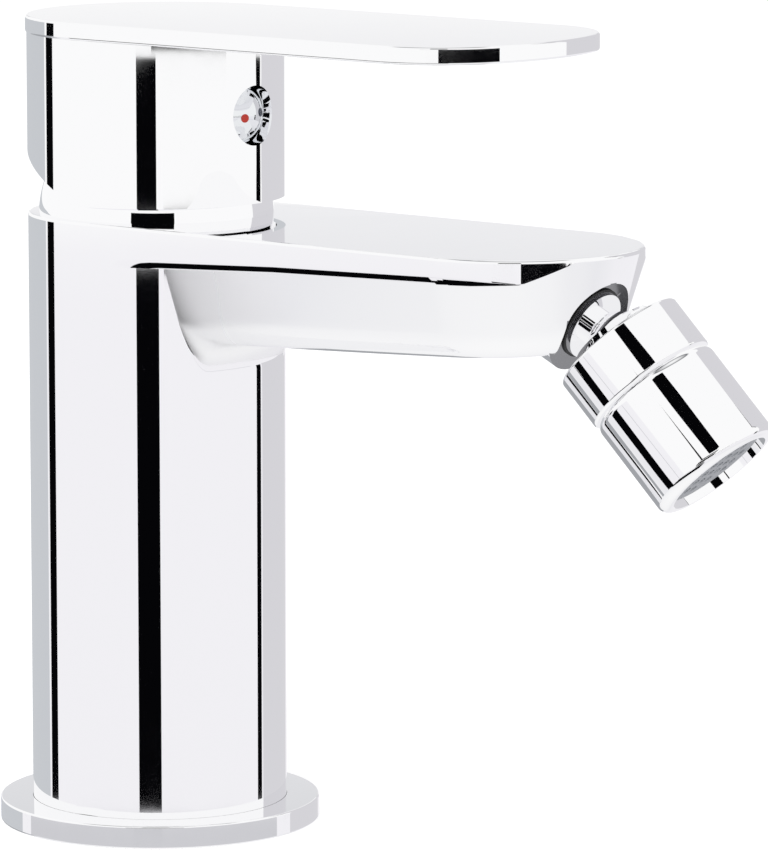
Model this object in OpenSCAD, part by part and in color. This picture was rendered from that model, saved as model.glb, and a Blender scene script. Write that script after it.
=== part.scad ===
// Single-lever bidet mixer with a spray outlet on a ball joint.
// Millimetres. +Z is up, the deck is the plane z = 0, the column's axis is Z and the spout points along +X.

/* [Column and spout] */
// Height of the body's flat top above the deck
body_h = 108.2; // [100:0.1:125]
// Diameter of the column, which is also the width of the spout and sets the cartridge and the cap
column_d = 45; // [44:0.1:50]
// Distance from the column's axis to the tip of the spout
spout_reach = 100.7; // [95:0.1:125]
// Depth of the spout at the column's axis
spout_depth = 21.7; // [20.5:0.1:26]
// Upward slope of the spout's underside, in degrees
spout_rise = 2.9; // [2:0.1:3.6]
// Depth of the upright band under the spout's upper edge, at the column's axis
spout_band = 6.9; // [5:0.1:8]
// Inward slope of the spout's sides below the band, in degrees
spout_draft = 17; // [12:0.5:20]
// Radius of the spout's lower edges
spout_edge_r = 7; // [4:0.1:8]

/* [Base] */
// How far the base ring stands out around the column
ring_lip = 5.75; // [5:0.05:10]
// Thickness of the base ring
ring_h = 4; // [3.6:0.1:6]
// Thickness of the base ring under the column
ring_floor = 2; // [1.8:0.1:2.4]
// Radius of the ring's edges
ring_edge_r = 0.6; // [0.3:0.1:1]
// Wall of the column around the hollow in its foot
column_wall = 4.05; // [3.5:0.05:5]
// Height of the collar that centres the ring in the column
collar_h = 6; // [5:0.1:10]
// Wall of that collar
collar_wall = 1.4; // [1:0.1:2]
// Width of the deck gasket
gasket_w = 5; // [3:0.1:5.5]
// Thickness of the deck gasket
gasket_t = 1; // [0.6:0.1:1.2]

/* [Inlets] */
// Height of the hollow in the foot of the column
foot_hollow_h = 40; // [30:0.5:50]
// Drilled diameter of the two hose ports, for an M10 x 1 thread
hose_port_d = 9; // [8:0.1:9.5]
// Length of thread in each hose port
hose_port_l = 14; // [10:0.5:18]
// Drilled diameter of the stud hole, for an M8 thread
stud_hole_d = 6.8; // [6:0.1:7.4]
// Length of thread in the stud hole
stud_hole_l = 16; // [10:0.5:20]
// Diameter of the water ways from the ports to the cartridge
inlet_d = 6; // [4:0.1:6.6]
// Diameter of the spout's water way
spout_way_d = 8; // [6:0.1:8.4]
// Width of the cored hollow in the spout
spout_core_w = 26; // [18:0.5:28]

/* [Cartridge] */
// Thickness of the cartridge's foot
cartridge_foot_t = 4; // [3.6:0.1:5]
// Thickness of each ceramic disc
disc_t = 3.5; // [2.5:0.1:4]
// Diameter of the inlets in the fixed disc
disc_port_d = 3.2; // [2.4:0.1:3.4]
// Distance from the axis to the fixed disc's inlets
disc_port_r = 4.5; // [4:0.1:4.8]
// Distance from the lever's pivot down to the centre of the spindle's foot
foot_arm = 9; // [8.5:0.1:9.5]
// Radius of the spindle's foot
foot_r = 2.4; // [2:0.1:2.6]
// Across the flats of the spindle's square stem
stem_af = 7; // [6:0.1:7.6]
// Diameter of the spindle's pivot pin
pivot_pin_d = 3; // [2:0.1:3.6]
// Wall of the dome ring over the cartridge
dome_wall = 2; // [1.6:0.1:2]
// Height of the dome ring above the body's top
dome_h = 8.8; // [8:0.1:9.6]

/* [Lever] */
// Height of the lever's top above the body's top
lever_h = 34.6; // [32:0.1:42]
// Wall of the lever's round cap
cap_wall = 1.55; // [1.2:0.05:2]
// Gap between the cap and the body's top
cap_gap = 2.7; // [2.4:0.1:3.4]
// Thickness of the cap's roof
roof_t = 3.8; // [3.4:0.1:5]
// Travel of the lever from closed to full flow, in degrees
flow_angle = 25; // [18:0.5:26]
// How far the lever's plate stands out beside the cap
plate_lip = 2.45; // [1:0.05:4]
// Thickness of the lever's plate
plate_t = 3; // [2.4:0.1:3.4]
// Distance from the column's axis to the tip of the lever
plate_reach = 87.7; // [80:0.1:105]
// Distance from the column's axis to the centre of the plate's rear arc
plate_rear_x = 3; // [2:0.1:5]
// Radius of the plate's front corners
plate_corner_r = 17; // [12:0.1:20]
// Radius of the arc across the plate's nose
plate_nose_r = 42.3; // [38:0.1:60]
// Radius of the hollow fillet under the plate, around the cap
plate_fillet_r = 2.3; // [1:0.1:3]
// Height of the index plug above the body's top
index_h = 18; // [17:0.1:19]
// Diameter of the hole for the index plug
index_hole_d = 10.4; // [9.6:0.1:11]
// Radius of curvature of the index plug's face
index_face_r = 6.2; // [6:0.1:8]
// Diameter of each colour dot
dot_d = 1.5; // [1:0.1:2]
// Angle from the middle of the plug's face to each dot, in degrees
dot_angle = 20; // [16:1:26]
// Turn of the row of dots from level, in degrees
dot_turn = 10; // [0:1:15]
// Diameter of the lever's grub screw
grub_d = 6; // [5:0.1:6.4]
// Length of the lever's grub screw
grub_l = 9; // [6:0.1:11]

/* [Spray outlet] */
// Distance from the spout's tip back to the outlet's seat
seat_back = 6.3; // [6:0.1:7]
// Distance from the body's top down to the centre of the seat
seat_drop = 11.6; // [11.2:0.1:12]
// Downward slope of the seat's axis, in degrees
seat_pitch = 26; // [24:0.5:28]
// Diameter of the recess around the seat
seat_d = 16.4; // [15.6:0.1:17]
// Wall of the boss around the seat
seat_wall = 1.1; // [0.8:0.1:1.4]
// Distance from the seat to the centre of the ball
ball_out = 7.4; // [7.2:0.1:8]
// Diameter of the ball
ball_d = 11; // [10.4:0.1:11.4]
// Diameter of the nipple's flange
flange_d = 12; // [11:0.1:12.6]
// Diameter of the nipple's neck
neck_d = 6.4; // [5.6:0.1:6.6]
// Diameter of the nipple's thread
nipple_thread_d = 9.8; // [8:0.1:10]
// Length of the nipple's thread
nipple_thread_l = 8; // [6:0.1:8.4]
// Diameter of the nipple's water way
nipple_way_d = 3.8; // [3:0.1:4.4]
// Downward slope of the spray head's axis, in degrees
head_pitch = 47.5; // [42:0.5:49]
// Sideways turn of the spray head, in degrees
head_yaw = 9; // [0:0.5:10]
// Diameter of the ball housing
housing_d = 23.3; // [22:0.1:23.8]
// Length of the ball housing
housing_l = 9.4; // [9:0.1:12]
// Diameter of the aerator shell
shell_d = 23; // [22:0.1:23.8]
// Length of the aerator shell
shell_l = 18.5; // [16:0.1:24]
// Radius of the shell's edges
shell_edge_r = 1; // [0.4:0.1:1.2]
// Wall of the shell
shell_wall = 1.6; // [1.4:0.1:2]
// Width of the lip at the shell's mouth
mouth_lip = 0.5; // [0.3:0.1:0.8]
// Depth of the screen behind the shell's mouth
screen_depth = 1.5; // [1:0.1:2.5]
// Spacing of the holes in the screen
screen_pitch = 2.2; // [2:0.1:3]
// Diameter of the holes in the screen
screen_hole_d = 1.5; // [1:0.1:1.7]

/* [Clearances] */
// Gap all round between pieces that are pushed or screwed together
fit_gap = 0.05; // [0.02:0.01:0.1]
// Gap all round between pieces that turn or slide on each other
run_gap = 0.06; // [0.03:0.01:0.1]
// Gap around pieces that pass each other freely
free_gap = 0.35; // [0.3:0.05:0.5]

/* [Hidden] */
$fn = 96;
through = 1;

// Column and base
column_r = column_d / 2;
ring_r = column_r + ring_lip;
foot_hollow_r = column_r - column_wall;
collar_r = foot_hollow_r - fit_gap;
base_bore_r = collar_r - collar_wall;
gasket_inset = 1.5;
gasket_in_r = column_r - gasket_inset;
gasket_out_r = gasket_in_r + gasket_w;
port_web = 1.6;
hose_port_y = stud_hole_d / 2 + port_web + hose_port_d / 2;

// Radii of the cartridge's pieces, counted in from the column
chamber_wall = 5;
thread_depth = 1.5;
disc_inset = 3.2;
rotor_inset = 6.5;
rotor_lip = 2;
neck_wall = 2.2;
cartridge_r = column_r - chamber_wall;
chamber_r = cartridge_r + 2 * fit_gap;
nut_thread_r = cartridge_r + thread_depth;
fixed_disc_r = cartridge_r - disc_inset;
cartridge_hollow_r = fixed_disc_r + fit_gap;
rotor_r = cartridge_r - rotor_inset;
rotor_flange_r = rotor_r + rotor_lip;
cartridge_neck_r = rotor_r + neck_wall;
disc_travel = foot_arm * sin(flow_angle);
moving_disc_r = cartridge_hollow_r - disc_travel - free_gap;
disc_port_angle = 51;
disc_overlap = 0.2;
disc_flat_x = disc_port_r + disc_port_d / 2 + disc_overlap;

// Heights of the cartridge's pieces, counted down from the lever's pivot
pivot_drop = 1;
carrier_floor_t = 1;
carrier_rise = 1.6;
rotor_flange_t = 1.2;
shoulder_t = 1.5;
cartridge_rise = 3.8;
rotor_sink = 0.5;
window_drop = 3;
seal_groove_t = 1.6;
seal_w = 1.6;
pivot_z = body_h - pivot_drop;
foot_z = pivot_z - foot_arm;
carrier_floor_z = foot_z - foot_r - free_gap;
carrier_z = carrier_floor_z - carrier_floor_t;
carrier_top_z = foot_z + carrier_rise;
moving_disc_z = carrier_z - disc_t;
fixed_disc_z = moving_disc_z - disc_t;
chamber_z = fixed_disc_z - cartridge_foot_t;
rotor_z = carrier_top_z + free_gap;
rotor_shoulder_z = rotor_z + rotor_flange_t;
nut_seat_z = rotor_shoulder_z + shoulder_t;
cartridge_top_z = body_h + cartridge_rise;
rotor_top_z = cartridge_top_z - rotor_sink;
window_z = foot_z - window_drop;
seal_groove_r = inlet_d / 2 + seal_w;

// Slot of the rotor, long enough for the spindle's tilt
rotor_slot_back = (rotor_top_z - pivot_z) * tan(flow_angle) + stem_af / 2 / cos(flow_angle) + free_gap;
rotor_slot_front = (pivot_z - rotor_z) * tan(flow_angle) + foot_r / cos(flow_angle) + free_gap;

// Nut and dome ring
dome_seat_w = 1.65;
dome_r = nut_thread_r + dome_seat_w;
dome_in_r = dome_r - dome_wall;
dome_top_z = body_h + dome_h;
nut_flange_t = 1.6;
nut_hex_h = 3;
nut_hex_z = body_h + nut_flange_t;
nut_flange_r = sqrt(pow(dome_in_r, 2) - pow(nut_hex_z - pivot_z, 2)) - fit_gap;
nut_hex_r = sqrt(pow(dome_in_r, 2) - pow(nut_hex_z + nut_hex_h - pivot_z, 2)) - free_gap;

// Lever
cap_in_r = dome_r + free_gap;
cap_r = cap_in_r + cap_wall;
cap_z = body_h + cap_gap;
lever_top_z = body_h + lever_h;
cap_roof_z = lever_top_z - roof_t;
plate_z = lever_top_z - plate_t;
plate_half = cap_r + plate_lip;
plate_corner_y = plate_half - plate_corner_r;
plate_nose_x = plate_reach - plate_nose_r;
plate_corner_run = sqrt(pow(plate_nose_r - plate_corner_r, 2) - pow(plate_corner_y, 2));
plate_corner_x = plate_nose_x + plate_corner_run;
boss_wall = 2;
boss_gap = 1.5;
stem_sink = 4;
boss_r = stem_af / sqrt(2) + boss_wall;
boss_z = dome_top_z + boss_gap;
stem_top_z = cap_roof_z - stem_sink;
rear_cut_x = 0.7;

// Index plug and grub screw
index_z = body_h + index_h;
index_hole_r = index_hole_d / 2;
rib_wall = 1.2;
rib_r = index_hole_r + rib_wall;
grub_r = grub_d / 2;
grub_socket_l = 3;
plug_gap = 0.15;
plug_sink = 0.2;
plug_r = index_hole_r - plug_gap;
plug_tip_x = cap_r - plug_sink;
plug_rim_t = 1.2;
plug_face_x = plug_tip_x - index_face_r;
plug_seat_x = plug_face_x + sqrt(pow(index_face_r, 2) - pow(plug_r, 2)) - plug_rim_t;
plug_shank_l = 2.4;
dot_depth = 0.5;

// Seat, nipple and ball
seat_x = spout_reach - seat_back;
seat_z = body_h - seat_drop;
seat_r = seat_d / 2;
seat_boss_l = 12;
seat_seal_t = 0.7;
seat_seal_w = 1.2;
flange_t = 0.9;
ball_r = ball_d / 2;
ball_x = seat_x + ball_out * cos(seat_pitch);
ball_z = seat_z - ball_out * sin(seat_pitch);

// Spray head: distances along its axis from the centre of the ball
lip_s = -2.4;
lip_top_r = 7.2;
lip_foot_r = 8.6;
housing_s = -0.6;
shell_s = housing_s + housing_l;
shell_end_s = shell_s + shell_l;
spigot_l = 3.5;
spigot_end_s = shell_s + spigot_l;
spigot_r = shell_d / 2 - shell_wall;
cup_s = 1.2;
cup_wall = 1.7;
cup_floor_t = 0.4;
cup_r = ball_r + cup_wall;
cup_end_s = ball_r + cup_floor_t;
cup_way_r = 2.8;
pressure_way_r = 3.4;
washer_t = 1.5;
washer_way_r = 5;
cage_s = spigot_end_s + washer_t;
screen_t = 0.8;
screen_end_s = shell_end_s - screen_depth;
screen_s = screen_end_s - screen_t;
cage_r = spigot_r - fit_gap;
cage_floor_t = 1.6;
cage_hole_d = 2;
mouth_r = cage_r - mouth_lip;
cage_wall = 0.9;
cage_step = 0.7;
screen_r = cage_r - cage_wall;
cage_bore_r = screen_r - cage_step;
flow_disc_r = cage_bore_r - fit_gap;
flow_disc_t = 2;
flow_hole_d = 1.4;

// Frame of the seat: z runs out of the spout along the nipple's axis, from the seat's centre
module at_seat() {
    translate([seat_x, 0, seat_z])
        rotate([0, 90 + seat_pitch, 0])
            children();
}

// Frame of the spray head: z runs along the head's axis, from the centre of the ball
module at_head() {
    translate([ball_x, 0, ball_z])
        rotate([0, 90 + head_pitch, head_yaw])
            children();
}

// Frame of the index plug: z runs out of the cap towards +X, from the column's axis
module at_index() {
    translate([0, 0, index_z])
        rotate([0, 90, 0])
            children();
}

// Round tube or washer standing on z
module tube(outer_r, inner_r, length) {
    difference() {
        cylinder(r = outer_r, h = length);
        translate([0, 0, -through])
            cylinder(r = inner_r, h = length + 2 * through);
    }
}

// Round bar along Y, through the middle of its own origin
module cross_bar(radius, length) {
    rotate([90, 0, 0])
        cylinder(r = radius, h = length, center = true);
}

// Outline of the body's flat top in front of the column's axis
module spout_outline() {
    tip_x = spout_reach - column_r;
    translate([0, -column_r])
        square([tip_x, column_d]);
    translate([tip_x, 0])
        circle(r = column_r);
}

// Section of the spout below its band: sloping sides with round edges at the underside
module spout_section() {
    slope_h = spout_depth - spout_edge_r - spout_band;
    top_half = column_r + (spout_band + spout_depth) * tan(spout_draft);
    corner_y = column_r - (spout_edge_r + slope_h * sin(spout_draft)) / cos(spout_draft);
    corner_z = -spout_depth + spout_edge_r;
    side_y = corner_y + spout_edge_r * cos(spout_draft);
    side_z = corner_z - spout_edge_r * sin(spout_draft);
    polygon([
        [-top_half, spout_depth], [top_half, spout_depth], [side_y, side_z],
        [corner_y, corner_z], [corner_y, -spout_depth], [-corner_y, -spout_depth],
        [-corner_y, corner_z], [-side_y, side_z],
    ]);
    for (side = [-1, 1])
        translate([side * corner_y, corner_z])
            circle(r = spout_edge_r);
}

// Rising form of the spout: the section along +X, with its half turned around the tip
module spout_rising_form() {
    tip_half = column_r + (spout_band - spout_reach * sin(spout_rise)) * tan(spout_draft);
    tip_x = spout_reach * cos(spout_rise) - tip_half;
    rotate([0, -spout_rise, 0]) {
        translate([-column_r, 0, 0])
            rotate([90, 0, 90])
                linear_extrude(height = column_r + tip_x)
                    spout_section();
        translate([tip_x, 0, 0])
            rotate_extrude()
                intersection() {
                    spout_section();
                    translate([0, -2 * spout_depth])
                        square([2 * column_d, 4 * spout_depth]);
                }
    }
}

// Outside of the spout: the upright band of the outline, cut away below by the rising form
module spout_form() {
    translate([0, 0, body_h])
        intersection() {
            translate([0, 0, -2 * spout_depth])
                linear_extrude(height = 2 * spout_depth)
                    spout_outline();
            spout_rising_form();
        }
}

// Boss around the outlet's seat, kept below the body's top
module seat_boss() {
    intersection() {
        at_seat()
            translate([0, 0, -seat_boss_l])
                cylinder(r = seat_r + seat_wall, h = seat_boss_l);
        translate([0, -column_r, 0])
            cube([2 * spout_reach, column_d, body_h]);
    }
}

// Hollows of the spout: a bore from the cartridge's chamber, a wide core, and the nipple's hole
module spout_ways() {
    start_x = chamber_r - 2;
    end_x = seat_x - (nipple_thread_l - 2) * cos(seat_pitch);
    end_z = seat_z + (nipple_thread_l - 2) * sin(seat_pitch);
    run = end_x - start_x;
    slope = atan((end_z - window_z) / run);
    core_r = spout_core_w / 2;
    core_start = column_r - start_x + core_r;
    core_run = run - core_start - core_r - spout_way_d;
    translate([start_x, 0, window_z])
        rotate([0, -slope, 0]) {
            rotate([0, 90, 0])
                cylinder(d = spout_way_d, h = run / cos(slope));
            translate([core_start, 0, -spout_way_d / 2])
                linear_extrude(height = spout_way_d) {
                    circle(r = core_r);
                    translate([0, -core_r])
                        square([core_run, spout_core_w]);
                    translate([core_run, 0])
                        circle(r = core_r);
                }
        }
    at_seat() {
        translate([0, 0, -nipple_thread_l - 1])
            cylinder(r = nipple_thread_d / 2 + run_gap, h = nipple_thread_l + 1 + through);
        cylinder(r = seat_r, h = 4 * seat_r);
    }
}

// Bores at both sides of the axis, in line with the hose ports
module port_pair(diameter, z, length) {
    for (side = [-1, 1])
        translate([0, side * hose_port_y, z])
            cylinder(d = diameter, h = length);
}

// Hollow, ports and stud hole in the foot of the column
module foot_ways() {
    translate([0, 0, -through])
        cylinder(r = foot_hollow_r, h = foot_hollow_h + through);
    port_pair(hose_port_d, foot_hollow_h - through, hose_port_l + through);
    port_pair(inlet_d, foot_hollow_h - through, chamber_z - foot_hollow_h + 2 * through);
    translate([0, 0, foot_hollow_h - through])
        cylinder(d = stud_hole_d, h = stud_hole_l + through);
}

// Cast body: column and spout in one
module body() {
    color("gainsboro")
        difference() {
            union() {
                translate([0, 0, ring_floor])
                    cylinder(r = column_r, h = body_h - ring_floor);
                spout_form();
                seat_boss();
            }
            foot_ways();
            translate([0, 0, chamber_z])
                cylinder(r = chamber_r, h = body_h);
            translate([0, 0, nut_seat_z])
                cylinder(r = nut_thread_r, h = body_h);
            spout_ways();
        }
}

// Round ring between the column and the deck, with a collar inside the column
module base_ring() {
    color("silver")
        difference() {
            union() {
                rotate_extrude() {
                    square([ring_r - ring_edge_r, ring_h]);
                    translate([0, ring_edge_r])
                        square([ring_r, ring_h - 2 * ring_edge_r]);
                    for (edge_z = [ring_edge_r, ring_h - ring_edge_r])
                        translate([ring_r - ring_edge_r, edge_z])
                            circle(r = ring_edge_r);
                }
                cylinder(r = collar_r, h = collar_h);
            }
            translate([0, 0, -through])
                cylinder(r = base_bore_r, h = collar_h + 2 * through);
            translate([0, 0, ring_floor])
                tube(column_r + fit_gap, collar_r, collar_h);
            translate([0, 0, -through])
                tube(gasket_out_r + fit_gap, gasket_in_r - fit_gap, gasket_t + through);
        }
}

// Rubber gasket in the ring's groove, flush with the deck
module deck_gasket() {
    color("dimgray")
        tube(gasket_out_r, gasket_in_r, gasket_t);
}

// Place of one inlet in the fixed disc
function disc_port(side) = [-disc_port_r * cos(disc_port_angle), side * disc_port_r * sin(disc_port_angle)];

// Plastic foot of the cartridge: each inlet has a seal groove below and a slot to the disc above
module cartridge_foot() {
    slot_z = chamber_z + cartridge_foot_t / 2;
    color("whitesmoke")
        difference() {
            translate([0, 0, chamber_z])
                cylinder(r = cartridge_r, h = cartridge_foot_t);
            port_pair(inlet_d, chamber_z - through, cartridge_foot_t / 2 + through);
            port_pair(2 * seal_groove_r, chamber_z - through, seal_groove_t + through);
            for (side = [-1, 1]) {
                inner = disc_port(side);
                outer = [0, side * hose_port_y];
                way = outer - inner;
                translate([inner[0], inner[1], slot_z - fit_gap])
                    rotate(atan2(way[1], way[0]))
                        linear_extrude(height = cartridge_foot_t) {
                            circle(d = disc_port_d);
                            translate([0, -disc_port_d / 2])
                                square([norm(way), disc_port_d]);
                            translate([norm(way), 0])
                                circle(d = disc_port_d);
                        }
            }
        }
}

// Rubber rings that seal the inlets against the body
module port_seals() {
    color("black")
        for (side = [-1, 1])
            translate([0, side * hose_port_y, chamber_z])
                tube(seal_groove_r - fit_gap, inlet_d / 2, seal_groove_t);
}

// Ceramic disc with the two inlets
module fixed_disc() {
    color("white")
        difference() {
            translate([0, 0, fixed_disc_z])
                cylinder(r = fixed_disc_r, h = disc_t);
            for (side = [-1, 1])
                translate([disc_port(side)[0], disc_port(side)[1], fixed_disc_z - through])
                    cylinder(d = disc_port_d, h = disc_t + 2 * through);
        }
}

// Ceramic disc whose flat side uncovers the inlets as it slides forwards
module moving_disc() {
    color("ghostwhite")
        difference() {
            translate([0, 0, moving_disc_z])
                cylinder(r = moving_disc_r, h = disc_t);
            translate([-disc_flat_x - moving_disc_r, -moving_disc_r, moving_disc_z - through])
                cube([moving_disc_r, 2 * moving_disc_r, disc_t + 2 * through]);
        }
}

// Plastic carrier on the moving disc, with the slot that the spindle's foot drives
module disc_carrier() {
    half_x = foot_r + free_gap;
    half_y = stem_af / 2 + run_gap;
    color("lightsteelblue")
        difference() {
            translate([0, 0, carrier_z])
                cylinder(r = moving_disc_r, h = carrier_top_z - carrier_z);
            translate([-half_x, -half_y, carrier_floor_z])
                cube([2 * half_x, 2 * half_y, carrier_top_z]);
        }
}

// Plastic housing of the cartridge, held down at its shoulder by the nut
module cartridge_housing() {
    color("aliceblue")
        difference() {
            union() {
                translate([0, 0, fixed_disc_z])
                    cylinder(r = cartridge_r, h = nut_seat_z - fixed_disc_z);
                translate([0, 0, nut_seat_z])
                    cylinder(r = cartridge_neck_r, h = cartridge_top_z - nut_seat_z);
            }
            translate([0, 0, fixed_disc_z - through])
                cylinder(r = cartridge_hollow_r, h = rotor_z - fixed_disc_z + through);
            translate([0, 0, rotor_z - through])
                cylinder(r = rotor_flange_r + run_gap, h = rotor_flange_t + through);
            translate([0, 0, rotor_z])
                cylinder(r = rotor_r + run_gap, h = cartridge_top_z);
            translate([fixed_disc_r - through, 0, window_z])
                rotate([0, 90, 0])
                    cylinder(d = spout_way_d, h = cartridge_r);
        }
}

// Plastic rotor that turns with the lever and carries its pivot pin
module rotor() {
    slot_w = stem_af + 2 * run_gap;
    color("lightgray")
        difference() {
            union() {
                translate([0, 0, rotor_z])
                    cylinder(r = rotor_flange_r, h = rotor_flange_t);
                translate([0, 0, rotor_z])
                    cylinder(r = rotor_r, h = rotor_top_z - rotor_z);
            }
            translate([-rotor_slot_back, -slot_w / 2, rotor_z - through])
                cube([rotor_slot_back + rotor_slot_front, slot_w, rotor_top_z]);
            translate([0, 0, pivot_z])
                cross_bar(pivot_pin_d / 2 + fit_gap, 4 * rotor_r);
        }
}

// Steel pin on which the spindle tilts
module pivot_pin() {
    color("slategray")
        translate([0, 0, pivot_z])
            cross_bar(pivot_pin_d / 2, 2 * rotor_r - pivot_pin_d);
}

// Brass spindle: a square stem above the pivot and a foot below it
module spindle() {
    half = stem_af / 2;
    shin = 0.75 * foot_r;
    color("goldenrod")
        difference() {
            union() {
                translate([-half, -half, pivot_z])
                    cube([stem_af, stem_af, stem_top_z - pivot_z]);
                translate([0, 0, pivot_z])
                    cross_bar(half, stem_af);
                translate([-shin, -half, foot_z])
                    cube([2 * shin, stem_af, foot_arm]);
                translate([0, 0, foot_z])
                    cross_bar(foot_r, stem_af);
            }
            translate([0, 0, pivot_z])
                cross_bar(pivot_pin_d / 2 + run_gap, 2 * stem_af);
        }
}

// Brass nut that clamps the cartridge into the body
module cartridge_nut() {
    color("darkgoldenrod")
        difference() {
            union() {
                translate([0, 0, nut_seat_z])
                    cylinder(r = nut_thread_r - fit_gap, h = body_h - nut_seat_z);
                translate([0, 0, body_h])
                    cylinder(r = nut_flange_r, h = nut_flange_t);
                translate([0, 0, nut_hex_z])
                    cylinder(r = nut_hex_r, h = nut_hex_h, $fn = 6);
            }
            translate([0, 0, nut_seat_z - through])
                cylinder(r = cartridge_neck_r + fit_gap, h = lever_h);
        }
}

// Polished dome ring over the nut
module dome_ring() {
    color("gainsboro")
        intersection() {
            translate([0, 0, pivot_z])
                difference() {
                    sphere(r = dome_r);
                    sphere(r = dome_in_r);
                }
            translate([-2 * dome_r, -2 * dome_r, body_h])
                cube([4 * dome_r, 4 * dome_r, dome_h]);
        }
}

// Outline of the lever's plate: a round rear, straight sides, round corners and a shallow nose
module plate_outline() {
    wedge = plate_nose_r * plate_corner_y / plate_corner_run;
    translate([plate_rear_x, 0])
        circle(r = plate_half);
    translate([plate_rear_x, -plate_half])
        square([plate_corner_x - plate_rear_x, 2 * plate_half]);
    for (side = [-1, 1])
        translate([plate_corner_x, side * plate_corner_y])
            circle(r = plate_corner_r);
    intersection() {
        translate([plate_nose_x, 0])
            circle(r = plate_nose_r);
        polygon([[plate_nose_x, 0], [plate_reach, -wedge], [plate_reach, wedge]]);
    }
}

// Hollow fillet between the cap and the plate, cut to the plate's outline
module plate_fillet() {
    r = plate_fillet_r;
    translate([0, 0, plate_z - r])
        intersection() {
            rotate_extrude()
                difference() {
                    square([cap_r + r, r]);
                    translate([cap_r + r, 0])
                        circle(r = r);
                }
            linear_extrude(height = r)
                plate_outline();
        }
}

// Hollow inside of the lever's cap, without the boss and the rib that it keeps
module cap_hollow() {
    difference() {
        translate([0, 0, cap_z - through])
            cylinder(r = cap_in_r, h = cap_roof_z - cap_z + through);
        translate([0, 0, boss_z])
            cylinder(r = boss_r, h = lever_h);
        at_index()
            cylinder(r = rib_r, h = cap_r);
    }
}

// Space behind the column that the cap needs as the lever tilts
module rear_cut() {
    side = 4 * cap_r;
    translate([rear_cut_x, 0, cap_z])
        rotate([0, flow_angle, 0])
            translate([-side, -side / 2, -side])
                cube(side);
}

// Cast lever: round cap and flat plate in one
module lever() {
    socket_w = stem_af + 2 * fit_gap;
    color("gainsboro")
        difference() {
            union() {
                translate([0, 0, cap_z])
                    cylinder(r = cap_r, h = lever_top_z - cap_z);
                translate([0, 0, plate_z])
                    linear_extrude(height = plate_t)
                        plate_outline();
                plate_fillet();
            }
            cap_hollow();
            rear_cut();
            translate([-socket_w / 2, -socket_w / 2, boss_z - through])
                cube([socket_w, socket_w, stem_top_z + fit_gap - boss_z + through]);
            at_index() {
                cylinder(r = grub_r + fit_gap, h = cap_r);
                translate([0, 0, plug_seat_x])
                    cylinder(r = index_hole_r, h = cap_r);
            }
        }
}

// Steel grub screw that clamps the lever on the spindle
module grub_screw() {
    color("darkgray")
        at_index()
            translate([0, 0, stem_af / 2])
                difference() {
                    cylinder(r = grub_r, h = grub_l);
                    translate([0, 0, grub_l - grub_socket_l])
                        cylinder(d = grub_r, h = grub_socket_l + through, $fn = 6);
                }
}

// Places a child on the plug's round face, to one side of its middle
module at_dot(side) {
    at_index()
        translate([0, 0, plug_face_x])
            rotate(90 + dot_turn)
                rotate([0, side * dot_angle, 0])
                    translate([0, 0, index_face_r])
                        children();
}

// Round-faced plug that covers the grub screw's hole
module index_plug() {
    color("whitesmoke")
        difference() {
            at_index() {
                intersection() {
                    translate([0, 0, plug_seat_x])
                        cylinder(r = plug_r, h = plug_tip_x);
                    translate([0, 0, plug_face_x])
                        union() {
                            sphere(r = index_face_r);
                            translate([0, 0, plug_seat_x - plug_face_x])
                                cylinder(r = index_face_r, h = plug_rim_t);
                        }
                }
                translate([0, 0, plug_seat_x - plug_shank_l])
                    cylinder(r = grub_r - fit_gap, h = plug_shank_l + fit_gap);
            }
            for (side = [-1, 1])
                at_dot(side)
                    translate([0, 0, -dot_depth])
                        cylinder(d = dot_d + 2 * fit_gap, h = 4 * dot_depth);
        }
}

// One round colour dot, set into the plug's face
module dot(side) {
    at_dot(side)
        translate([0, 0, -dot_depth])
            cylinder(d = dot_d, h = dot_depth + fit_gap);
}

// Red dot on the hot side
module hot_dot() {
    color("red")
        dot(-1);
}

// Blue dot on the cold side
module cold_dot() {
    color("navy")
        dot(1);
}

// Rubber seal under the nipple's flange
module seat_seal() {
    inner_r = nipple_thread_d / 2 + free_gap;
    color("black")
        at_seat()
            tube(inner_r + seat_seal_w, inner_r, seat_seal_t);
}

// Nipple screwed into the spout, with the ball on its end
module ball_nipple() {
    color("silver")
        at_seat()
            difference() {
                union() {
                    translate([0, 0, -nipple_thread_l])
                        cylinder(d = nipple_thread_d, h = nipple_thread_l + seat_seal_t);
                    translate([0, 0, seat_seal_t])
                        cylinder(d = flange_d, h = flange_t);
                    cylinder(d = neck_d, h = ball_out);
                    translate([0, 0, ball_out])
                        sphere(r = ball_r);
                }
                translate([0, 0, -nipple_thread_l - through])
                    cylinder(d = nipple_way_d, h = nipple_thread_l + ball_out + ball_d);
            }
}

// Housing that turns on the ball, with a lip above it and a spigot for the shell
module ball_housing() {
    outer_r = housing_d / 2;
    bevel = shell_edge_r / 2;
    color("gainsboro")
        at_head()
            difference() {
                union() {
                    translate([0, 0, lip_s])
                        cylinder(r1 = lip_top_r, r2 = lip_foot_r, h = housing_s - lip_s);
                    translate([0, 0, housing_s])
                        cylinder(r1 = outer_r - bevel, r2 = outer_r, h = bevel);
                    translate([0, 0, housing_s + bevel])
                        cylinder(r = outer_r, h = housing_l - bevel);
                    translate([0, 0, shell_s])
                        cylinder(r = spigot_r - fit_gap, h = spigot_l);
                }
                sphere(r = ball_r + run_gap);
                translate([0, 0, cup_s])
                    cylinder(r = cup_r, h = shell_end_s);
            }
}

// Plastic cup that the ball rests in
module ball_cup() {
    color("white")
        at_head()
            difference() {
                translate([0, 0, cup_s])
                    cylinder(r = cup_r - fit_gap, h = cup_end_s - cup_s);
                sphere(r = ball_r + run_gap);
                cylinder(r = cup_way_r, h = shell_end_s);
            }
}

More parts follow.
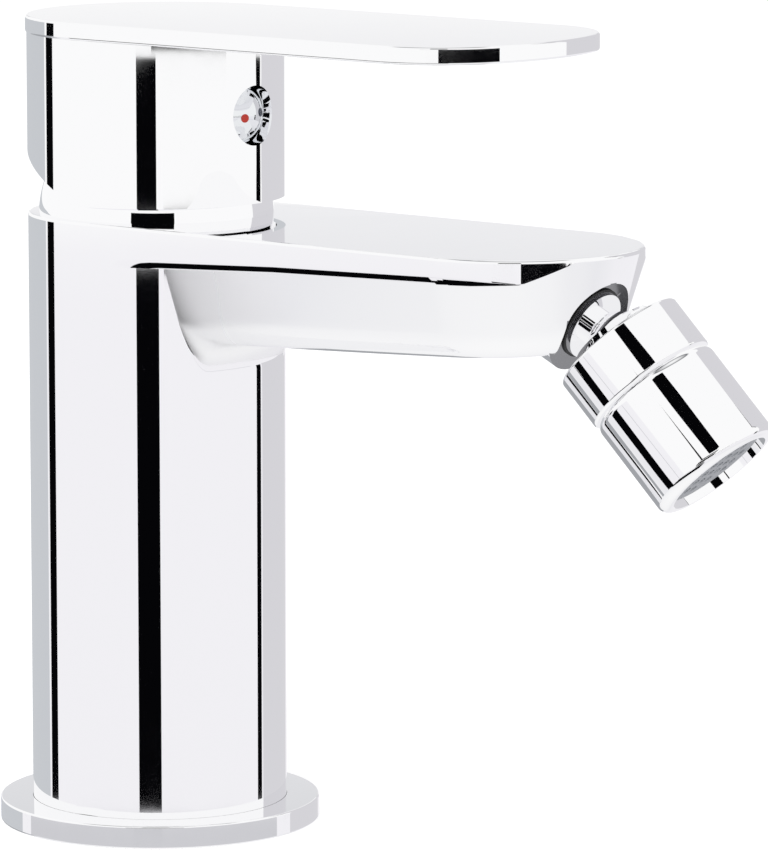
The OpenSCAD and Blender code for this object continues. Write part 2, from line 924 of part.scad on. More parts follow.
// Rubber ring that presses the cup on the ball
module pressure_ring() {
    color("dimgray")
        at_head()
            translate([0, 0, cup_end_s])
                tube(cup_r - fit_gap, pressure_way_r, spigot_end_s - cup_end_s);
}

// Round-edged shell around the aerator, screwed on the housing's spigot
module aerator_shell() {
    outer_r = shell_d / 2;
    color("gainsboro")
        at_head()
            translate([0, 0, shell_s])
                difference() {
                    rotate_extrude() {
                        square([outer_r - shell_edge_r, shell_l]);
                        translate([0, shell_edge_r])
                            square([outer_r, shell_l - 2 * shell_edge_r]);
                        for (edge_s = [shell_edge_r, shell_l - shell_edge_r])
                            translate([outer_r - shell_edge_r, edge_s])
                                circle(r = shell_edge_r);
                    }
                    translate([0, 0, -through])
                        cylinder(r = mouth_r, h = shell_l + 2 * through);
                    translate([0, 0, -through])
                        cylinder(r = spigot_r, h = screen_end_s - shell_s + through);
                }
}

// Rubber washer between the housing and the aerator
module aerator_washer() {
    color("black")
        at_head()
            translate([0, 0, spigot_end_s])
                tube(cage_r, washer_way_r, washer_t);
}

// Plastic cage of the aerator: a cup with holes in its floor and a step for the screen
module aerator_cage() {
    color("lightgray")
        at_head()
            difference() {
                translate([0, 0, cage_s])
                    cylinder(r = cage_r, h = screen_end_s - cage_s);
                translate([0, 0, cage_s + cage_floor_t])
                    cylinder(r = cage_bore_r, h = shell_end_s);
                translate([0, 0, screen_s])
                    cylinder(r = screen_r + fit_gap, h = shell_end_s);
                for (turn = [0 : 60 : 300])
                    rotate(turn)
                        translate([washer_way_r - cage_hole_d, 0, cage_s - through])
                            cylinder(d = cage_hole_d, h = cage_floor_t + 2 * through);
            }
}

// Disc that evens the flow, lying on the cage's floor
module flow_disc() {
    color("cornflowerblue")
        at_head()
            translate([0, 0, cage_s + cage_floor_t])
                difference() {
                    cylinder(r = flow_disc_r, h = flow_disc_t);
                    for (turn = [0 : 30 : 330])
                        rotate(turn)
                            translate([washer_way_r - cage_hole_d / 2, 0, -through])
                                cylinder(d = flow_hole_d, h = flow_disc_t + 2 * through);
                }
}

// Pierced screen at the outlet, on the cage's step
module aerator_screen() {
    span = screen_r - screen_hole_d;
    rows = floor(span / screen_pitch);
    color("darkgray")
        at_head()
            translate([0, 0, screen_s])
                difference() {
                    cylinder(r = screen_r, h = screen_t);
                    for (i = [-rows : rows], j = [-rows : rows])
                        if (norm([i, j]) * screen_pitch < span)
                            translate([i * screen_pitch, j * screen_pitch, -through])
                                cylinder(d = screen_hole_d, h = screen_t + 2 * through);
                }
}

body();
base_ring();
deck_gasket();
cartridge_foot();
port_seals();
fixed_disc();
moving_disc();
disc_carrier();
cartridge_housing();
rotor();
pivot_pin();
spindle();
cartridge_nut();
dome_ring();
lever();
grub_screw();
index_plug();
hot_dot();
cold_dot();
seat_seal();
ball_nipple();
ball_housing();
ball_cup();
pressure_ring();
aerator_shell();
aerator_washer();
aerator_cage();
flow_disc();
aerator_screen();
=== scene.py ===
import math

import bmesh
import bpy
from mathutils import Matrix, Vector


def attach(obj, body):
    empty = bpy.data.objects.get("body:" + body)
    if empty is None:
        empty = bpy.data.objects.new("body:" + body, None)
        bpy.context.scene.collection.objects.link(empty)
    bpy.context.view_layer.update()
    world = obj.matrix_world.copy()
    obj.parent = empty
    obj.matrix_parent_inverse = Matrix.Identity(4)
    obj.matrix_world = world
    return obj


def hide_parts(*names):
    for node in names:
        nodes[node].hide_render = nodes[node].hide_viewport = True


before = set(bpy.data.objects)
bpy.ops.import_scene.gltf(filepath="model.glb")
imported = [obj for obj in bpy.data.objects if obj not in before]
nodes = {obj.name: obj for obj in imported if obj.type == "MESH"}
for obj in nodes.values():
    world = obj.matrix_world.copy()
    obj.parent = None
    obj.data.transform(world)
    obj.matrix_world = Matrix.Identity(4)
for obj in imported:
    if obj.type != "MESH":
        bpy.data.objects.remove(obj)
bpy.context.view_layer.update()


# Studio
# A product photograph on white: a long lens a little above the spout, a pale floor,
# and far black and grey cards that only the chrome sees.
MM = 0.001
CAMERA_PLACE = Vector((691.03, -798.95, 233.79)) * MM
CAMERA_AIM = Vector((-0.61785, 0.77122, -0.15330))
LENS, SENSOR, CLIP_NEAR, CLIP_FAR = 256.95, 36, 0.05, 50


def linked(name, data):
    """A new object in the scene."""
    obj = bpy.data.objects.new(name, data)
    bpy.context.scene.collection.objects.link(obj)
    return obj


camera = linked("camera", bpy.data.cameras.new("camera"))
camera.data.lens, camera.data.sensor_width = LENS, SENSOR
camera.data.clip_start, camera.data.clip_end = CLIP_NEAR, CLIP_FAR
camera.location = CAMERA_PLACE
camera.rotation_euler = CAMERA_AIM.to_track_quat("-Z", "Y").to_euler()
bpy.context.scene.camera = camera
bpy.context.scene.view_settings.view_transform = "Standard"


def linear(hex_colour):
    """The linear colour of an sRGB hex value, with an alpha of 1."""
    parts = [int(hex_colour[i:i + 2], 16) / 255 for i in (1, 3, 5)]
    return [c / 12.92 if c <= 0.04045 else ((c + 0.055) / 1.055) ** 2.4 for c in parts] + [1]


def add_node(tree, kind, links=None, sockets=None, **settings):
    """Adds a node with its settings, its socket values and its incoming links."""
    node = tree.nodes.new(kind)
    for name, value in settings.items():
        setattr(node, name, value)
    for name, value in (sockets or {}).items():
        node.inputs[name].default_value = value
    for name, (source, output) in (links or {}).items():
        tree.links.new(source.outputs[output], node.inputs[name])
    return node


# The white room: a plain fill light on the part, and a tent that the camera and the chrome
# see, pale below, white around and grey overhead. Each stop is the sine of its height.
FILL = 0.75
TENT = ((-1.0, "#fdfdfd"), (-0.62, "#f7f7f8"), (-0.53, "#f1f1f3"), (-0.49, "#ededf0"),
        (-0.42, "#f4f3f6"), (-0.126, "#f6f5f8"), (-0.12, "#ffffff"), (0.86, "#ffffff"),
        (0.9, "#707276"), (1.0, "#707276"))
world = bpy.data.worlds.new("white_room")
bpy.context.scene.world = world
world.use_nodes = True
room = world.node_tree
room.nodes.clear()
path = add_node(room, "ShaderNodeLightPath")
seen = add_node(room, "ShaderNodeMath",
                {0: (path, "Is Camera Ray"), 1: (path, "Is Glossy Ray")}, operation="MAXIMUM")
seen = add_node(room, "ShaderNodeMath",
                {0: (seen, 0), 1: (path, "Is Transmission Ray")}, operation="MAXIMUM")
fill_light = add_node(room, "ShaderNodeBackground",
                      sockets={"Color": linear("#ffffff"), "Strength": FILL})
towards = add_node(room, "ShaderNodeTexCoord")
level = add_node(room, "ShaderNodeSeparateXYZ", {0: (towards, "Generated")})
share = add_node(room, "ShaderNodeMapRange", {"Value": (level, "Z")},
                 {"From Min": -1.0, "From Max": 1.0})
tent = add_node(room, "ShaderNodeValToRGB", {"Fac": (share, "Result")})
for sine, colour in TENT:
    stop = tent.color_ramp.elements.new((sine + 1) / 2)
    stop.color = linear(colour)
tent.color_ramp.elements.remove(tent.color_ramp.elements[0])
tent.color_ramp.elements.remove(tent.color_ramp.elements[-1])
backdrop = add_node(room, "ShaderNodeBackground", {"Color": (tent, "Color")}, {"Strength": 1.0})
either = add_node(room, "ShaderNodeMixShader",
                  {0: (seen, 0), 1: (fill_light, 0), 2: (backdrop, 0)})
add_node(room, "ShaderNodeOutputWorld", {"Surface": (either, 0)})


def object_from(bm, name):
    """An object with the mesh of a bmesh in metres."""
    mesh = bpy.data.meshes.new(name)
    bm.to_mesh(mesh)
    bm.free()
    return linked(name, mesh)


def bare_material(name):
    """A new material with an empty node tree."""
    material = bpy.data.materials.new(name)
    material.use_nodes = True
    material.node_tree.nodes.clear()
    return material


# White paper: a matt sheet that keeps the part's shadow and looks white to the camera.
FLOOR_HALF, PAPER_GLOW = 6, 0.35
bm = bmesh.new()
bmesh.ops.create_grid(bm, x_segments=1, y_segments=1, size=FLOOR_HALF)
floor = object_from(bm, "floor")
floor.visible_glossy = False
paper = bare_material("white_paper")
path = add_node(paper.node_tree, "ShaderNodeLightPath")
sheet = add_node(paper.node_tree, "ShaderNodeBsdfDiffuse", sockets={"Color": linear("#f4f4f5")})
glow = add_node(paper.node_tree, "ShaderNodeEmission",
                sockets={"Color": linear("#ffffff"), "Strength": PAPER_GLOW})
lit = add_node(paper.node_tree, "ShaderNodeAddShader", {0: (sheet, 0), 1: (glow, 0)})
shown = add_node(paper.node_tree, "ShaderNodeMixShader",
                 {0: (path, "Is Camera Ray"), 1: (sheet, 0), 2: (lit, 0)})
add_node(paper.node_tree, "ShaderNodeOutputMaterial", {"Surface": (shown, 0)})
floor.data.materials.append(paper)

SOFTBOX_SIZE, SOFTBOX_WATTS = 1.2, 14
SOFTBOX_PLACE, SOFTBOX_AIM = Vector((0.6, -1.2, 1.6)), Vector((0, 0, 0.07))
lamp = linked("softbox", bpy.data.lights.new("softbox", "AREA"))
lamp.data.size, lamp.data.energy = SOFTBOX_SIZE, SOFTBOX_WATTS
lamp.location = SOFTBOX_PLACE
lamp.rotation_euler = (SOFTBOX_AIM - SOFTBOX_PLACE).to_track_quat("-Z", "Y").to_euler()
lamp.visible_glossy = False

CARD_FAR = 3.0
TOWARDS_CAMERA = math.degrees(math.atan2(-CAMERA_AIM.y, -CAMERA_AIM.x))


def card(name, colour, from_turn, to_turn, low, high, top_colour=None):
    """A standing curved card three metres off, seen by the chrome alone.

    Turns are degrees to the photograph's right of the camera, low and high are heights in mm.
    """
    bm = bmesh.new()
    start = math.radians(TOWARDS_CAMERA + from_turn)
    x, y = CARD_FAR * math.cos(start), CARD_FAR * math.sin(start)
    ends = [bm.verts.new((x, y, height * MM)) for height in (low, high)]
    edge = bm.edges.new(ends)
    bmesh.ops.spin(bm, geom=[*ends, edge], cent=(0, 0, 0), axis=(0, 0, 1),
                   angle=math.radians(to_turn - from_turn),
                   steps=max(2, round(to_turn - from_turn)))
    obj = object_from(bm, name)
    obj.visible_camera = obj.visible_diffuse = obj.visible_shadow = False
    board = bare_material(name)
    tree = board.node_tree
    place = add_node(tree, "ShaderNodeTexCoord")
    height = add_node(tree, "ShaderNodeSeparateXYZ", {0: (place, "Object")})
    share = add_node(tree, "ShaderNodeMapRange", {"Value": (height, "Z")},
                     {"From Min": low * MM, "From Max": high * MM})
    shade = add_node(tree, "ShaderNodeValToRGB", {"Fac": (share, "Result")})
    shade.color_ramp.elements[0].color = linear(colour)
    shade.color_ramp.elements[1].color = linear(top_colour or colour)
    face = add_node(tree, "ShaderNodeEmission", {"Color": (shade, "Color")}, {"Strength": 1.0})
    add_node(tree, "ShaderNodeOutputMaterial", {"Surface": (face, 0)})
    obj.data.materials.append(board)


# Black cards give the dark lines on the upright pieces, and the low ones the line under
# the spout's band. Grey cards shade the sides, and the last two the flat tops.
BLACK, GREY = "#050507", "#c9ccd0"
card("black_card_column", BLACK, -16.5, 3.4, -653, -280)
card("black_card_cap", BLACK, -15.5, 1.8, -250, -142)
card("black_card_neck", BLACK, -23, 19, -60, 560)
card("black_card_neck_top", BLACK, -23, 19, 740, 1140)
card("black_card_head", BLACK, -12, 9, 1700, 2750)
card("black_strip_left", BLACK, -113, -103, -648, -100)
card("black_strip_right", BLACK, 102, 108, -650, -290)
card("black_strip_right_cap", BLACK, 102, 108, -255, -143)
card("black_strip_right_head", BLACK, 107, 110, 1500, 2750)
card("black_strip_nose", BLACK, -2, 67, -137, -106)
card("black_strip_tip", BLACK, 8, 53, -286, -244)
card("black_strip_below", BLACK, -90, -75.5, -1430, -690)
card("black_strip_below_head", BLACK, -92, -75.5, -1595, -1430)
card("black_strip_below_tip", BLACK, -75.5, -69, -1880, -1190)
card("black_strip_below_corner", BLACK, -69, -62, -1880, -1000)
card("black_strip_below_nose", BLACK, -62, 10, -1950, -800)
card("grey_card_left", GREY, -180, -116, -700, -60)
card("grey_card_left_low", "#a4a6aa", -180, -110, -1950, -705)
card("grey_card_right", "#d8d7db", 110, 165, -700, 2750)
card("grey_band_ring", "#cfcfd3", -105, 95, -688, -655)
card("sky_over_lever", "#ffffff", 165, 195, 370, 440, "#eeeef0")
card("sky_over_spout", "#f1f1f3", 165, 195, 440, 800, "#d2d3d6")


# Body: the upright column and the flat spout
# One brass casting, ground, polished and chrome plated. The lever's cartridge sits in a
# chamber in its top, the hoses and the stud come up into the hollow of its foot.
COLUMN_R, BODY_TOP, BODY_FOOT = 22.5, 108.2, 2.0
SPOUT_RISE, WALL_DRAFT = math.tan(math.radians(2.9)), math.radians(17)
SPOUT_TIP_X, BAND_DEPTH, SPOUT_DEPTH = 78.2, 6.9, 21.7
EDGE_R, CREASE_R, CORNER_R, ROOT_R, ROOT_HAIR = 0.5, 5.2, 7.0, 5.5, 0.02
NECK, NECK_FROM, CREASE_FROM, CREASE_TO = 0.27, 15.0, 12.5, 16.5
CREASE_SAG, SAG_FROM = 0.7, 45.0
# The lines along the casting, counted from its top edge to the middle of its underside.
FIXED_LINES, ROOT_LINES, CREASE_LINES, LEDGE_LINES = 4, 5, 13, 20
WALL_LINES, CORNER_LINES, UNDER_LINES = 8, 12, 16
EDGE_TURN, LEDGE_HAIR = 30, 0.0002
# Vertices closer than this, in mm, are one.
WELD, WELD_WIDE = 1e-5, 1e-4


def chrome_finish(name, colour, haze_low, haze_high, satin=None):
    """Chrome plate on a polished casting: a mirror with faint haze and slight buffing waves.

    Satin gives where along X the plate is dull, where it is bright, and how dull it is.
    """
    material = bare_material(name)
    tree = material.node_tree
    haze_mm, wave_mm, wave_depth_mm = 9.0, 16.0, 0.02
    place = add_node(tree, "ShaderNodeTexCoord")
    haze = add_node(tree, "ShaderNodeTexNoise", {"Vector": (place, "Object")},
                    {"Scale": 1 / (haze_mm * MM), "Detail": 3.0})
    rough = add_node(tree, "ShaderNodeMapRange", {"Value": (haze, "Fac")},
                     {"From Min": 0.3, "From Max": 0.7, "To Min": haze_low, "To Max": haze_high})
    if satin:
        dull_x, bright_x, dull = satin
        along = add_node(tree, "ShaderNodeSeparateXYZ", {0: (place, "Object")})
        rough = add_node(tree, "ShaderNodeMapRange",
                         {"Value": (along, "X"), "To Max": (rough, "Result")},
                         {"From Min": dull_x * MM, "From Max": bright_x * MM, "To Min": dull})
    wave = add_node(tree, "ShaderNodeTexNoise", {"Vector": (place, "Object")},
                    {"Scale": 1 / (wave_mm * MM), "Detail": 1.0})
    dent = add_node(tree, "ShaderNodeBump", {"Height": (wave, "Fac")},
                    {"Strength": 0.12, "Distance": wave_depth_mm * MM})
    plate = add_node(tree, "ShaderNodeBsdfPrincipled",
                     {"Roughness": (rough, "Result"), "Normal": (dent, "Normal")},
                     {"Base Color": linear(colour), "Metallic": 1.0})
    add_node(tree, "ShaderNodeOutputMaterial", {"Surface": (plate, "BSDF")})
    return material


# Polished chrome: bright and cool, it shows the room's cards as sharp dark lines.
chrome = chrome_finish("chrome_plate_polished", "#fafafb", 0.012, 0.028)


def half_section(crease_depth, depth, crease_r):
    """Half the spout's section from its top edge to the middle of its underside.

    Each point is (distance from the middle plane, height over the top).
    """
    points = []
    for i in range(FIXED_LINES):
        turn = math.radians(EDGE_TURN * i)
        points.append((COLUMN_R - EDGE_R + EDGE_R * math.sin(turn),
                       -EDGE_R + EDGE_R * math.cos(turn)))
    reach = crease_r * math.tan(WALL_DRAFT / 2)
    bends = CREASE_LINES - FIXED_LINES - 1
    for i in range(bends + 1):
        turn = WALL_DRAFT * i / bends
        points.append((COLUMN_R - crease_r * (1 - math.cos(turn)),
                       -crease_depth + reach - crease_r * math.sin(turn)))
    corner_z = CORNER_R - depth
    tangent_z = corner_z - CORNER_R * math.sin(WALL_DRAFT)
    tangent_y = COLUMN_R + math.tan(WALL_DRAFT) * (tangent_z + crease_depth)
    corner_y = tangent_y - CORNER_R * math.cos(WALL_DRAFT)
    last_y, last_z = points[-1]
    for i in range(1, LEDGE_LINES + 1):
        points.append((last_y - LEDGE_HAIR * i * math.sin(WALL_DRAFT),
                       last_z - LEDGE_HAIR * i * math.cos(WALL_DRAFT)))
    for i in range(1, WALL_LINES + 1):
        points.append((last_y + (tangent_y - last_y) * i / WALL_LINES,
                       last_z + (tangent_z - last_z) * i / WALL_LINES))
    for i in range(1, CORNER_LINES + 1):
        turn = WALL_DRAFT + (math.pi / 2 - WALL_DRAFT) * i / CORNER_LINES
        points.append((corner_y + CORNER_R * math.cos(turn),
                       corner_z - CORNER_R * math.sin(turn)))
    for i in range(UNDER_LINES - 1, -1, -1):
        points.append((corner_y * math.sin(math.pi / 2 * i / UNDER_LINES), -depth))
    return points


section = half_section(BAND_DEPTH, SPOUT_DEPTH, CREASE_R)
bm = bmesh.new()
line = bm.verts.layers.int.new("line")


def start_chain(places):
    """A chain of vertices and edges, one vertex for each numbered line along the casting."""
    verts = []
    for number, place in places:
        vert = bm.verts.new(place)
        vert[line] = number
        verts.append(vert)
    return [bm.edges.new(pair) for pair in zip(verts, verts[1:])]


def extrude_chain(edges, placed):
    """Extrudes a chain of edges and puts each new vertex where its line runs."""
    made = bmesh.ops.extrude_edge_only(bm, edges=edges)["geom"]
    fresh = {g for g in made if isinstance(g, bmesh.types.BMVert)}
    for vert in fresh:
        vert.co = placed(vert[line])
    return [g for g in made if isinstance(g, bmesh.types.BMEdge) and set(g.verts) <= fresh]


def share_of(value, low, high):
    """How far a value has come from low to high, as a share from 0 to 1."""
    return min(1.0, max(0.0, (value - low) / (high - low)))


def neck_share(x):
    """How far the spout's lower part is drawn in at x: wholly at the column, no more at the tip."""
    return (1 - share_of(x, NECK_FROM, SPOUT_TIP_X)) ** 2


def sag_share(i):
    """How much of the crease's sag line i takes: all down to the crease, less over the wall."""
    if i < FIXED_LINES:
        return 0
    return 1 - share_of(i + 1 - CREASE_LINES - LEDGE_LINES, 0, WALL_LINES)


def line_at(i, x):
    """Where line i of the straight spout is at x. The crease starts a little way out."""
    width, drop = section[i]
    if FIXED_LINES <= i < CREASE_LINES:
        width += (COLUMN_R - width) * (1 - share_of(x, CREASE_FROM, CREASE_TO))
    pull = share_of(i + 1, CREASE_LINES, CREASE_LINES + LEDGE_LINES)
    rise = SPOUT_RISE * x if i >= FIXED_LINES else 0
    sag = CREASE_SAG * share_of(x, SAG_FROM, SPOUT_TIP_X) * sag_share(i)
    return Vector((x, -width * (1 - pull * NECK * neck_share(x)), BODY_TOP + drop + rise - sag))


def root_x(i):
    """Where line i of the spout meets the round column, found by closing in on it."""
    x, tries = 0.0, 30
    for _ in range(tries):
        x = math.sqrt(max(0.0, COLUMN_R ** 2 - line_at(i, x).y ** 2))
    return x


def root_reach(i):
    """How far the root's fillet runs along line i: only the underside has one to speak of."""
    if i < CREASE_LINES + LEDGE_LINES:
        return ROOT_HAIR
    before, after = section[i - 1], section[min(i + 1, len(section) - 1)]
    along = Vector((after[0] - before[0], after[1] - before[1])).normalized()
    return ROOT_HAIR + ROOT_R * abs(along.x) ** 3


def root_fillet(share):
    """Places a line's vertex on the fillet from the column (0) to the spout (1)."""
    def placed(i):
        if i < ROOT_LINES:
            return line_at(i, 0)
        x, reach = root_x(i), root_reach(i)
        corner = line_at(i, x)
        below, beyond = corner - Vector((0, 0, reach)), line_at(i, x + reach)
        return below * (1 - share) ** 2 + corner * 2 * share * (1 - share) + beyond * share ** 2
    return placed


# The column's front, the fillet at the spout's root, and the spout as far as its tip.
ROOT_SHARES, NECK_STEPS = (0, 0.15, 0.32, 0.5, 0.68, 0.85, 1), 40
lower = range(ROOT_LINES - 1, len(section))
rim = start_chain([(i, (root_x(i), line_at(i, root_x(i)).y, BODY_FOOT)) for i in lower])
for share in ROOT_SHARES:
    rim = extrude_chain(rim, root_fillet(share))
start_chain([(i, line_at(i, 0)) for i in range(ROOT_LINES)])
bmesh.ops.remove_doubles(bm, verts=bm.verts, dist=WELD)
at_spout = root_fillet(1)
rim = [edge for edge in bm.edges if len(edge.link_faces) < 2
       and all((vert.co - at_spout(vert[line])).length < WELD_WIDE for vert in edge.verts)
       and edge.verts[0][line] != edge.verts[1][line]]
for step in range(1, NECK_STEPS + 1):
    def neck_place(i):
        start = at_spout(i).x
        return line_at(i, start + (SPOUT_TIP_X - start) * step / NECK_STEPS)

    rim = extrude_chain(rim, neck_place)

# The round tip, where the band under the top edge lifts to a thin line at the front.
TIP_STEPS, FRONT_BAND, LEVEL_DROP, FINE_R, BAND_LEAN = 40, 0.6, 0.3, 0.4, 0.0012
FINE_FROM, LIFT_FROM, LIFT_TO = math.radians(20), math.radians(42), math.radians(66)
tip_crease = BAND_DEPTH - SPOUT_RISE * SPOUT_TIP_X
tip_depth = SPOUT_DEPTH - SPOUT_RISE * SPOUT_TIP_X
for step in range(1, TIP_STEPS + 1):
    turn = math.pi / 2 * step / TIP_STEPS
    fine = share_of(turn, FINE_FROM, LIFT_FROM)
    tip_section = half_section(tip_crease, tip_depth, CREASE_R + (FINE_R - CREASE_R) * fine)
    level_band = tip_crease + CREASE_SAG + LEVEL_DROP * share_of(turn, 0, LIFT_FROM)
    band = level_band + (FRONT_BAND - level_band) * share_of(turn, LIFT_FROM, LIFT_TO)
    lower_by = band - tip_crease + SPOUT_RISE * COLUMN_R * math.sin(turn)

    def tip_place(i):
        width, drop = tip_section[i]
        under_edge = i >= FIXED_LINES
        width += BAND_LEAN * lower_by * sag_share(i) + BAND_LEAN * tip_crease * under_edge
        ahead = width * math.sin(turn)
        rise = SPOUT_RISE * ahead * under_edge
        height = BODY_TOP + drop + rise - lower_by * sag_share(i)
        return (SPOUT_TIP_X + ahead, -width * math.cos(turn), height)

    rim = extrude_chain(rim, tip_place)

# The column's rear, and then the other half.
REAR_STEPS = 48
rear = start_chain([(0, (0, -COLUMN_R, BODY_FOOT))]
                   + [(i, line_at(i, 0)) for i in range(ROOT_LINES - 1, -1, -1)])
rear_verts = dict.fromkeys(vert for edge in rear for vert in edge.verts)
bmesh.ops.spin(bm, geom=[*rear_verts, *rear], cent=(0, 0, 0), axis=(0, 0, 1),
               angle=-math.pi / 2, steps=REAR_STEPS)
bmesh.ops.remove_doubles(bm, verts=bm.verts, dist=WELD)
bmesh.ops.mirror(bm, geom=[*bm.verts, *bm.edges, *bm.faces], axis="Y", merge_dist=WELD_WIDE)
bmesh.ops.remove_doubles(bm, verts=bm.verts, dist=WELD_WIDE)


def turned(bm, profile, steps, closed=False):
    """Turns a profile of (radius, height) points about the Z axis of bm."""
    verts = [bm.verts.new((radius, 0, height)) for radius, height in profile]
    edges = [bm.edges.new(pair) for pair in zip(verts, verts[1:])]
    if closed:
        edges.append(bm.edges.new((verts[-1], verts[0])))
    bmesh.ops.spin(bm, geom=[*verts, *edges], cent=(0, 0, 0), axis=(0, 0, 1),
                   angle=2 * math.pi, steps=steps, use_merge=True)
    bmesh.ops.remove_doubles(bm, verts=bm.verts, dist=WELD_WIDE)


def flat_between(bm, height):
    """Closes the flat ring between the open edges at one height."""
    edges = [edge for edge in bm.edges if len(edge.link_faces) == 1
             and all(abs(vert.co.z - height) < WELD_WIDE for vert in edge.verts)]
    bmesh.ops.triangle_fill(bm, edges=edges, use_beauty=True)


CHAMBER_R, THREAD_R, CHAMBER_FLOOR, NUT_SEAT = 17.6, 19.0, 83.45, 102.85
turned(bm, [(THREAD_R, BODY_TOP), (THREAD_R, NUT_SEAT), (CHAMBER_R, NUT_SEAT),
            (CHAMBER_R, CHAMBER_FLOOR), (0, CHAMBER_FLOOR)], steps=96)
flat_between(bm, BODY_TOP)
HOLLOW_R, HOLLOW_TOP = 18.45, 40.0
turned(bm, [(HOLLOW_R, BODY_FOOT), (HOLLOW_R, HOLLOW_TOP), (0, HOLLOW_TOP)], steps=96)
flat_between(bm, BODY_FOOT)
bmesh.ops.recalc_face_normals(bm, faces=bm.faces)


def mesh_object(bm, name, place=Matrix()):
    """An object from a bmesh in millimetres, put at its place in the frame."""
    bmesh.ops.transform(bm, matrix=Matrix.Scale(MM, 4) @ place, verts=bm.verts)
    return object_from(bm, name)


def turned_object(name, profile, steps, place=Matrix(), closed=False):
    """A turned piece or cutter of its own, with its faces pointing outwards."""
    bm = bmesh.new()
    turned(bm, profile, steps, closed)
    bmesh.ops.recalc_face_normals(bm, faces=bm.faces)
    return mesh_object(bm, name, place)


def rod(radius, start, end):
    """The profile of a plain round rod."""
    return [(0, start), (radius, start), (radius, end), (0, end)]


def cut(obj, tool, operation):
    """Joins obj and tool or cuts the tool out of it, and drops the tool."""
    step = obj.modifiers.new("cut", "BOOLEAN")
    step.object, step.operation, step.solver = tool, operation, "EXACT"
    whole = obj.evaluated_get(bpy.context.evaluated_depsgraph_get())
    mesh = bpy.data.meshes.new_from_object(whole)
    obj.modifiers.clear()
    obj.data = mesh
    bpy.data.objects.remove(tool)


CRISP, SOFT, LEVEL, UPRIGHT = math.radians(30), math.radians(3), 1e-7, 0.01


def keep_walls_true(mesh):
    """Marks the level edges between upright walls and their roundings as sharp.

    The walls then reflect as plain walls, with nothing of the rounding's slope in them.
    """
    bm = bmesh.new()
    bm.from_mesh(mesh)
    for edge in bm.edges:
        is_level = abs(edge.verts[0].co.z - edge.verts[1].co.z) < LEVEL
        if is_level and len(edge.link_faces) == 2 and edge.calc_face_angle() > SOFT:
            if sum(abs(face.normal.z) < UPRIGHT for face in edge.link_faces) == 1:
                edge.smooth = False
    bm.to_mesh(mesh)
    bm.free()


def dress(obj, material, body, node, mirrored=True):
    """Smooth shading with crisp edges, the finish, the frame's body, and the frame's node hidden.

    Mirrored says whether the chrome around the piece shows it.
    """
    obj.visible_glossy = mirrored
    obj.data.name = obj.name
    obj.data.materials.clear()
    obj.data.materials.append(material)
    obj.data.shade_smooth()
    obj.data.set_sharp_from_angle(angle=CRISP)
    keep_walls_true(obj.data)
    even = obj.modifiers.new("even_normals", "WEIGHTED_NORMAL")
    even.keep_sharp, even.weight = True, 100
    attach(obj, body)
    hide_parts(node)


casting = mesh_object(bm, "casting")

# The seat in the tip: a lip around a recess, the nipple's thread hole, and the hose and
# stud ports in the roof of the foot's hollow.
SEAT_TURN = math.pi / 2 + math.radians(26)
SEAT = Matrix.Translation((94.4, 0, 96.6)) @ Matrix.Rotation(SEAT_TURN, 4, "Y")
SEAT_R, SEAT_CUT_L, LIP_R, LIP_L, LIP_LEVEL = 8.2, 32, 9.3, 12.0, Vector((90, 0, 104.0))
THREAD_HOLE_R, THREAD_HOLE_L, CUT_OVER = 4.96, 9.0, 1
PORTS = ((-9.5, 4.5, 14), (9.5, 4.5, 14), (0, 3.4, 16))
bm = bmesh.new()
turned(bm, rod(LIP_R, 0, -LIP_L), steps=128)
into_seat = SEAT.inverted()
bmesh.ops.bisect_plane(bm, geom=[*bm.verts, *bm.edges, *bm.faces], clear_outer=True,
                       plane_co=into_seat @ LIP_LEVEL,
                       plane_no=into_seat.to_3x3() @ Vector((0, 0, 1)))
bmesh.ops.holes_fill(bm, edges=bm.edges)
bmesh.ops.recalc_face_normals(bm, faces=bm.faces)
cut(casting, mesh_object(bm, "lip", SEAT), "UNION")
cut(casting, turned_object("seat", rod(SEAT_R, 0, SEAT_CUT_L), 128, SEAT), "DIFFERENCE")
thread_hole = rod(THREAD_HOLE_R, CUT_OVER, -THREAD_HOLE_L)
cut(casting, turned_object("thread_hole", thread_hole, 64, SEAT), "DIFFERENCE")
for y, radius, length in PORTS:
    port_place = Matrix.Translation((0, y, HOLLOW_TOP))
    cut(casting, turned_object("port", rod(radius, -CUT_OVER, length), 48, port_place),
        "DIFFERENCE")
dress(casting, chrome, "column", "body")

# Blasted chrome in the recess and on its rim: rough, with no clear reflection, and a dull grey
# colour that is painted shade for the recess.
casting.data.materials.append(chrome_finish("chrome_plate_blasted_painted_shade", "#8d8d90", 0.28, 0.38))
RECESS_OVER, RECESS_UNDER, RIM_FACING = 0.05, 0.1, 0.9995
from_metres = (Matrix.Scale(MM, 4) @ SEAT).inverted()
seat_axis = SEAT.to_3x3() @ Vector((0, 0, 1))
for face in casting.data.polygons:
    middle = from_metres @ face.center
    across = math.hypot(middle.x, middle.y)
    is_rim = across < LIP_R + RECESS_OVER and face.normal.dot(seat_axis) > RIM_FACING
    is_recess = across < SEAT_R + RECESS_OVER
    if (is_rim or is_recess) and middle.z > -THREAD_HOLE_L - RECESS_UNDER:
        face.material_index = 1

